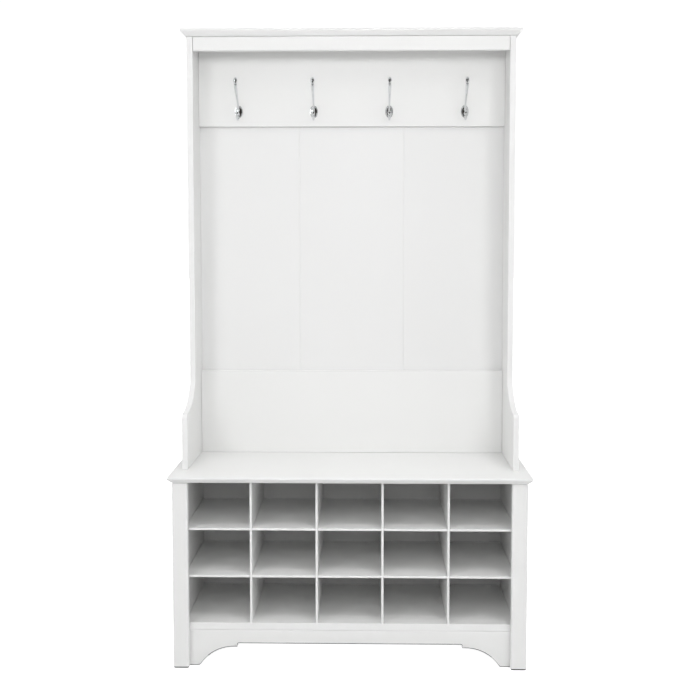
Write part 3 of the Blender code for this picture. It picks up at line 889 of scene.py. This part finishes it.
# The prongs as (reach from the rail, height above the plate's centre, radius), and the knobs' centres
UPPER_PRONG = ((0.0022, 0.0040, 0.0042), (0.0060, 0.0062, 0.0030), (0.014, 0.012, 0.0025),
               (0.034, 0.029, 0.0029), (0.060, 0.050, 0.0039), (0.073, 0.062, 0.0045),
               (0.0785, 0.0690, 0.0042))
UPPER_KNOB = (0.0790, 0.0785)
LOWER_PRONG = ((0.0022, -0.0050, 0.0042), (0.0052, -0.0100, 0.0032), (0.012, -0.0200, 0.0030),
               (0.027, -0.0255, 0.0030), (0.040, -0.0210, 0.0032), (0.0458, -0.0125, 0.0034))
LOWER_KNOB = (0.0460, -0.0085)
BALL_STRETCH = 1.07
KNOB_STEPS = 20
DOME_STEPS = 14
PLATE_RIM = 0.0011
PLATE_STEP = 0.93
PLATE_FOOT = 0.0003

# What is drilled from the plate for each screw, as (name, centre's Y, radius, half length, sides)
PLATE_CUTS = (("screw hole", 0.0, SCREW_CORE + 0.0010, 0.009, 28),
              ("head seat", -0.0060, SCREW_HEAD + 0.0003, 0.0040, 32))

def smooth_path(points, steps):
    """Points on a smooth curve through the given rows of numbers, with the end rows kept."""
    rows = [Vector(row) for row in points]
    padded = [rows[0] * 2 - rows[1], *rows, rows[-1] * 2 - rows[-2]]
    path = []
    for before, start, end, after in zip(padded, padded[1:], padded[2:], padded[3:]):
        for i in range(steps):
            t = i / steps
            place = (2 * start) + (end - before) * t
            place = place + (2 * before - 5 * start + 4 * end - after) * t**2
            path.append(0.5 * (place + (3 * start - before - 3 * end + after) * t**3))
    return path + [rows[-1]]


def prong_mesh(points, sides=28, steps=7, flatten=0.92):
    """A tapered bar through (reach, height, radius) points, a little wider than deep, closed at both ends."""
    path = smooth_path(points, steps)
    shape = bmesh.new()
    rings = []
    for i, (reach, height, radius) in enumerate(path):
        before, after = path[max(i - 1, 0)], path[min(i + 1, len(path) - 1)]
        along = Vector((0, -(after[0] - before[0]), after[1] - before[1])).normalized()
        side = Vector((1, 0, 0))
        out = side.cross(along)
        ring = []
        for k in range(sides):
            angle = 2 * math.pi * k / sides
            offset = side * math.cos(angle) * radius + out * math.sin(angle) * radius * flatten
            ring.append(shape.verts.new(Vector((0, -reach, height)) + offset))
        rings.append(ring)
    for lower, upper in zip(rings, rings[1:]):
        for k in range(sides):
            shape.faces.new((lower[k], lower[(k + 1) % sides], upper[(k + 1) % sides], upper[k]))
    shape.faces.new(list(reversed(rings[0])))
    shape.faces.new(rings[-1])
    bmesh.ops.recalc_face_normals(shape, faces=shape.faces)
    return mesh_of(shape, "prong")


def plate_mesh():
    """The oval plate: a flat back, a thin straight rim, a small step and then a dome."""
    use = settings().hooks
    rise = use.plate_dome - PLATE_RIM
    angles = [math.radians(90 * i / DOME_STEPS) for i in range(DOME_STEPS, -1, -1)]
    dome = [(PLATE_STEP * math.cos(a), PLATE_RIM + rise * math.sin(a)) for a in angles]
    profile = [(0.0, dome[0][1])] + dome[1:]
    profile += [(0.985, PLATE_RIM * 0.9), (1.0, PLATE_RIM * 0.55), (1.0, PLATE_FOOT), (0.0, PLATE_FOOT)]
    shape = bmesh.new()
    oval = Matrix.Diagonal((use.plate_half_width, use.plate_half_height, 1.0, 1.0))
    turned_shape(shape, profile, 64, Matrix.Rotation(math.pi / 2, 4, "X") @ oval)
    bmesh.ops.recalc_face_normals(shape, faces=shape.faces)
    return mesh_of(shape, "plate")


def knob_mesh(place, radius, half):
    """An egg-shaped knob turned about an upright axis, its centre at a (reach, height)."""
    angles = [math.pi * i / KNOB_STEPS for i in range(1, KNOB_STEPS)]
    inner = [(radius * math.sin(a), half * math.cos(a)) for a in angles]
    shape = bmesh.new()
    centre = Matrix.Translation((0, -place[0], place[1]))
    turned_shape(shape, [(0.0, half)] + inner + [(0.0, -half)], 32, centre)
    bmesh.ops.recalc_face_normals(shape, faces=shape.faces)
    return mesh_of(shape, "knob")


def hook_mesh(screw_offset):
    """One cast hook, its plate's centre at the origin, with a seated hole for a screw above and below it."""
    use = settings().hooks
    parts = [
        prong_mesh(UPPER_PRONG),
        prong_mesh(LOWER_PRONG),
        knob_mesh(UPPER_KNOB, use.knob_radius, use.knob_height),
        knob_mesh(LOWER_KNOB, use.ball_radius, use.ball_radius * BALL_STRETCH),
    ]
    hook = plate_mesh()
    for part in parts:
        hook = boolean(hook, part, "UNION")
    for name, depth, radius, half, sides in PLATE_CUTS:
        cutter = bmesh.new()
        for height in (screw_offset, -screw_offset):
            rod(cutter, Vector((0, depth, height)), Y, radius, half, sides)
        hook = boolean(hook, mesh_of(cutter, name), "DIFFERENCE")
    return hook


class HALLTREE_OT_hooks(bpy.types.Operator):
    """Builds the cast double hooks"""

    bl_idname = "hall_tree.hooks"
    bl_label = "Hooks"

    def execute(self, context):
        top, foot = (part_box(f"hook_1_{place}_screw") for place in ("top", "foot"))
        pattern = hook_mesh((top[0].z - foot[0].z) / 2)
        for number in range(1, HOOKS + 1):
            node = f"hook_{number}"
            low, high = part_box(node)
            screws = [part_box(f"{node}_{place}_screw") for place in ("top", "foot")]
            height = sum(corner.z for pair in screws for corner in pair) / 4
            mesh = pattern.copy()
            mesh.name = node
            mesh.transform(Matrix.Translation(((low.x + high.x) / 2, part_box("hook_rail")[0].y, height)))
            finish_piece(f"{node}_cast", mesh, chrome_material(), "chrome", node, sharp=32)
        bpy.data.meshes.remove(pattern)
        return {"FINISHED"}


# ---------------- screws and dowels

# The pan head as (share of its radius, height above its seat)
SCREW_HEAD_PROFILE = ((0.0, 0.0017), (0.30, 0.00165), (0.60, 0.00140), (0.85, 0.00095), (0.97, 0.00050),
                      (1.0, 0.00020), (1.0, 0.00002), (0.97, 0.0))
SCREW_HEAD_HEIGHT = 0.0017
SCREW_NECK = 0.0002
SCREW_PLAIN = 0.0025
SCREW_TIP = 0.0035
TIP_SHARE = 0.12
SCREW_SIDES = 24
SCREW_STEPS = 72
RECESS_HEIGHT = 0.0018
RECESS_SHAPE = {"segments": 4, "radius1": 0.0006, "radius2": 0.0016, "depth": 0.0024}
RECESS_TURN = 0.02


def screw_mesh(length):
    """A pan-head wood screw that points down from its head's seat at 0, with a thread and a cross recess."""
    use = settings().hooks
    head = [(SCREW_HEAD * share, height) for share, height in SCREW_HEAD_PROFILE]
    neck = [(SCREW_CORE + SCREW_NECK, 0.0), (SCREW_CORE + SCREW_NECK, -SCREW_PLAIN)]
    thread = []
    for i in range(1, SCREW_STEPS):
        height = -SCREW_PLAIN - (length - SCREW_PLAIN) * i / SCREW_STEPS
        share = min(1.0, TIP_SHARE + (1 - TIP_SHARE) * (length + height) / SCREW_TIP)
        thread.append((SCREW_CORE * share, height))
    first = len(head) + len(neck)

    def ridge(number, height, angle):
        if number < first:
            return 0.0
        turn = (height / use.thread_pitch + angle / (2 * math.pi)) % 1.0
        fade = min(1.0, (length + height) / SCREW_TIP)
        return use.thread_depth * fade * max(0.0, 1 - abs(turn - 0.5) * 4)

    shape = bmesh.new()
    turned_shape(shape, head + neck + thread + [(0.0, -length)], SCREW_SIDES, Matrix.Identity(4), ridge)
    bmesh.ops.recalc_face_normals(shape, faces=shape.faces)
    screw = mesh_of(shape, "screw")
    flat = Matrix.Translation((0, 0, RECESS_HEIGHT)) @ Matrix.Diagonal((1.0, 0.30, 1.0, 1.0))
    for turn in (RECESS_TURN, RECESS_TURN + math.pi / 2):
        slot = bmesh.new()
        place = Matrix.Rotation(turn, 4, "Z") @ flat
        bmesh.ops.create_cone(slot, cap_ends=True, matrix=place, **RECESS_SHAPE)
        screw = boolean(screw, mesh_of(slot, "cross recess"), "DIFFERENCE")
    if not screw.polygons:
        raise RuntimeError("the screw's recess left no screw")
    return screw


class HALLTREE_OT_hook_screws(bpy.types.Operator):
    """Builds the two screws of each hook"""

    bl_idname = "hall_tree.hook_screws"
    bl_label = "Hook screws"

    def execute(self, context):
        turns = random.Random(11)
        for node in screw_nodes():
            low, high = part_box(node)
            seat = low.y + SCREW_HEAD_HEIGHT
            mesh = screw_mesh(high.y - seat)
            spin = Matrix.Rotation(turns.uniform(0, math.pi / 2), 4, "Z")
            place = Matrix.Translation(((low.x + high.x) / 2, seat, (low.z + high.z) / 2))
            mesh.transform(place @ Matrix.Rotation(math.pi / 2, 4, "X") @ spin)
            finish_piece(f"{node}_threaded", mesh, steel_material(), "plated_steel", node)
        return {"FINISHED"}


FLUTES = 14
FLUTE_DEPTH = 0.00025
DOWEL_CHAMFER = 0.0009
DOWEL_STEPS = 5


def dowel_mesh(radius, half):
    """A fluted dowel along Z with chamfered ends."""
    waist, rim, straight = radius - FLUTE_DEPTH / 2, radius - DOWEL_CHAMFER, half - DOWEL_CHAMFER
    profile = [(0.0, half), (rim, half)]
    profile += [(waist, straight - 2 * straight * i / DOWEL_STEPS) for i in range(DOWEL_STEPS + 1)]
    profile += [(rim, -half), (0.0, -half)]
    last = len(profile) - 3

    def flute(number, height, angle):
        if number < 2 or number > last:
            return 0.0
        return FLUTE_DEPTH / 2 * math.cos(FLUTES * angle)

    shape = bmesh.new()
    turned_shape(shape, profile, FLUTES * 6, Matrix.Identity(4), flute)
    bmesh.ops.recalc_face_normals(shape, faces=shape.faces)
    mesh = mesh_of(shape, "dowel")
    layer = mesh.attributes.new("dowel_place", "FLOAT_VECTOR", "POINT")
    layer.data.foreach_set("vector", [value for vert in mesh.vertices for value in vert.co])
    return mesh


class HALLTREE_OT_dowels(bpy.types.Operator):
    """Builds the fluted beech dowels hidden in the joints"""

    bl_idname = "hall_tree.dowels"
    bl_label = "Dowels"

    def execute(self, context):
        for node, centre, axis, radius, half in dowel_places():
            mesh = dowel_mesh(radius, half)
            mesh.transform(Matrix.Translation(centre) @ AXIS_TURNS[axis])
            finish_piece(f"{node}_fluted", mesh, beech_material(), "dowel_wood", node, sharp=50)
        return {"FINISHED"}


# ---------------- stage

# Each softbox as (name, place, target, width and height, whether one more stands on the other side)
SOFTBOXES = (
    ("camera", (0.2, -4.4, 2.2), (0, 0, 0.9), (1.6, 1.2), False),
    ("left", (-1.4, -2.4, 1.9), (0, 0, 0.6), (0.8, 0.8), False),
    ("right", (1.4, -2.4, 1.9), (0, 0, 0.6), (0.8, 0.8), False),
    ("key", (1.2, -2.2, 3.4), (0, 0, 1.0), (0.8, 0.8), False),
    ("steep", (0.9, -1.35, 2.6), (0, -0.1, 0.25), (0.4, 0.4), True),
    ("side", (3.5, -1.2, 2.0), (0, 0, 1.0), (1.5, 2.0), True),
    ("rear", (2.4, 3.4, 2.2), (0, 0, 0.9), (1.6, 1.6), True),
    ("hutch", (0.2, -4.2, 1.95), (0, 0.1, 1.68), (0.6, 0.6), False),
)
MIRRORED_SOFTBOX = "left"
FULL_SPREAD = math.pi

# Light and dark cards that stand round the room, as (place from left to right, brightness)
CARDS = ((0.00, 0.12), (0.08, 0.15), (0.12, 0.95), (0.32, 0.95), (0.35, 0.10), (0.39, 0.90), (0.60, 0.90),
         (0.64, 0.06), (0.72, 0.70), (0.80, 0.80), (0.85, 0.06), (1.00, 0.03))
OVERHEAD_START = 0.80
OVERHEAD_END = 0.95
CAMERA_WHITE = 1.05

FLAG_PLACE = (0.03, -0.42, 1.38)
FLAG_COLOUR = (0.020, 0.012, 0.008, 1)
FLOOR_SINK = 0.0002
FLOOR_CELLS = 24
SENSOR_WIDTH = 36.0


def softbox(name, place, target, size, power, spread):
    """A soft light that the camera never sees. Polished metal mirrors only one of them."""
    light = bpy.data.lights.new(f"{name}_softbox", "AREA")
    light.shape = "RECTANGLE"
    light.size, light.size_y = size
    light.energy = power
    light.spread = spread
    lamp = bpy.data.objects.new(f"{name}_softbox", light)
    bpy.context.scene.collection.objects.link(lamp)
    lamp.location = place
    lamp.visible_camera = False
    lamp.visible_glossy = name == MIRRORED_SOFTBOX
    lamp.rotation_euler = (Vector(target) - Vector(place)).to_track_quat("-Z", "Y").to_euler()


def floor_material(use):
    """A pale floor that the object sees as it is, and that the camera sees a little brighter."""
    material = bpy.data.materials.new("studio floor")
    material.use_nodes = True
    tree = material.node_tree
    tree.nodes.clear()
    base = add(tree, "ShaderNodeBsdfDiffuse", {"Color": (*use.floor_colour, 1)})
    seen = add(tree, "ShaderNodeLightPath").outputs["Is Camera Ray"]
    glow = add(tree, "ShaderNodeEmission", {"Strength": maths(tree, "MULTIPLY", seen, use.floor_lift)})
    both = add(tree, "ShaderNodeAddShader", {0: base.outputs[0], 1: glow.outputs[0]})
    add(tree, "ShaderNodeOutputMaterial", {"Surface": both.outputs[0]})
    return material


def background(tree, strength):
    return add(tree, "ShaderNodeBackground", {"Color": (1, 1, 1, 1), "Strength": strength}).outputs[0]


def choose(tree, switch, first, second):
    return add(tree, "ShaderNodeMixShader", {"Fac": switch, 1: first, 2: second}).outputs[0]


def make_world(use):
    """The room: white to the camera, brighter overhead to boards, light and dark cards to polished metal."""
    world = bpy.data.worlds.new("studio")
    bpy.context.scene.world = world
    world.use_nodes = True
    tree = world.node_tree
    tree.nodes.clear()
    seen = add(tree, "ShaderNodeLightPath").outputs
    direction = add(tree, "ShaderNodeTexCoord").outputs["Generated"]
    toward = add(tree, "ShaderNodeSeparateXYZ", {0: direction}).outputs
    overhead = add(tree, "ShaderNodeMapRange", {
        "Value": toward["Z"], "From Min": OVERHEAD_START, "From Max": OVERHEAD_END, "To Min": use.surround,
        "To Max": use.ceiling}, interpolation_type="SMOOTHSTEP")
    across = maths(tree, "ADD", maths(tree, "MULTIPLY", toward["X"], 0.5), 0.5)
    cards = add(tree, "ShaderNodeValToRGB", {"Fac": across})
    stops = cards.color_ramp.elements
    while len(stops) < len(CARDS):
        stops.new(0.5)
    for stop, (position, level) in zip(stops, CARDS):
        stop.position = position
        stop.color = (level, level, level, 1)
    room = background(tree, overhead.outputs["Result"])
    mirrored = background(tree, cards.outputs["Color"])
    object_sees = choose(tree, seen["Is Glossy Ray"], room, mirrored)
    everything = choose(tree, seen["Is Camera Ray"], object_sees, background(tree, CAMERA_WHITE))
    add(tree, "ShaderNodeOutputWorld", {"Surface": everything})


def stage_grid(name, cells, size, material):
    """A flat square sheet that belongs to the stage."""
    shape = bmesh.new()
    bmesh.ops.create_grid(shape, x_segments=cells, y_segments=cells, size=size / 2)
    sheet = bpy.data.objects.new(name, mesh_of(shape, name))
    sheet.data.materials.append(material)
    bpy.context.scene.collection.objects.link(sheet)
    return sheet


class HALLTREE_OT_stage(bpy.types.Operator):
    """Sets up the floor, the room, the soft lights and the camera"""

    bl_idname = "hall_tree.stage"
    bl_label = "Stage"

    def execute(self, context):
        use = settings().stage
        floor = stage_grid("studio_floor", FLOOR_CELLS, use.floor_size, floor_material(use))
        floor.location.z = -FLOOR_SINK
        make_world(use)
        for name, (x, y, z), target, size, paired in SOFTBOXES:
            for across in ((-x, x) if paired else (x,)):
                spread = getattr(use, f"{name}_spread", FULL_SPREAD)
                softbox(name, (across, y, z), target, size, getattr(use, f"{name}_power"), spread)
        self.make_flag(use)
        self.make_camera(use)
        context.scene.view_settings.view_transform = "Standard"
        return {"FINISHED"}

    def make_flag(self, use):
        """A dark card in front of the hooks. Only reflections see it."""
        material, tree, shader = new_material("dark card")
        shader.inputs["Base Color"].default_value = FLAG_COLOUR
        flag = stage_grid("dark_card", 1, 1.0, material)
        flag.scale = (*use.flag_size, 1)
        flag.rotation_euler.x = math.pi / 2
        flag.location = FLAG_PLACE
        for ray in ("camera", "diffuse", "transmission", "volume_scatter", "shadow"):
            setattr(flag, f"visible_{ray}", False)

    def make_camera(self, use):
        data = bpy.data.cameras.new("camera")
        data.sensor_width = SENSOR_WIDTH
        data.lens = use.lens
        data.shift_y = use.rise
        camera = bpy.data.objects.new("camera", data)
        camera.location = use.camera_place
        camera.rotation_euler = (math.pi / 2 - use.camera_tilt, 0, use.camera_turn)
        bpy.context.scene.collection.objects.link(camera)
        bpy.context.scene.camera = camera


# ---------------- sidebar and registration

OPERATORS = (
    HALLTREE_OT_stage,
    HALLTREE_OT_seat_and_crown,
    HALLTREE_OT_hutch,
    HALLTREE_OT_base,
    HALLTREE_OT_cubbies,
    HALLTREE_OT_back_panels,
    HALLTREE_OT_hooks,
    HALLTREE_OT_hook_screws,
    HALLTREE_OT_dowels,
)


class HALLTREE_PT_sidebar(bpy.types.Panel):
    """Lists the settings and the operators"""

    bl_label = "Hall Tree"
    bl_idname = "HALLTREE_PT_sidebar"
    bl_space_type = "VIEW_3D"
    bl_region_type = "UI"
    bl_category = "Hall Tree"

    def draw(self, context):
        for operator in OPERATORS:
            self.layout.operator(operator.bl_idname)
        use = settings()
        for title, group in (("Boards", use.boards), ("Hooks", use.hooks), ("Finishes", use.finishes),
                             ("Stage", use.stage)):
            box = self.layout.box()
            box.label(text=title)
            for name in group.bl_rna.properties.keys():
                if name not in ("rna_type", "name"):
                    box.prop(group, name)


CLASSES = (HallTreeBoards, HallTreeHooks, HallTreeFinishes, HallTreeStage, HallTreeSettings, *OPERATORS,
           HALLTREE_PT_sidebar)


def register():
    for cls in CLASSES:
        bpy.utils.register_class(cls)
    bpy.types.Scene.hall_tree = PointerProperty(type=HallTreeSettings)


def unregister():
    del bpy.types.Scene.hall_tree
    for cls in reversed(CLASSES):
        bpy.utils.unregister_class(cls)


def main():
    register()
    bpy.ops.hall_tree.stage()
    bpy.ops.hall_tree.seat_and_crown()
    bpy.ops.hall_tree.hutch()
    bpy.ops.hall_tree.base()
    bpy.ops.hall_tree.cubbies()
    bpy.ops.hall_tree.back_panels()
    bpy.ops.hall_tree.hooks()
    bpy.ops.hall_tree.hook_screws()
    bpy.ops.hall_tree.dowels()


if __name__ == "__main__":
    main()
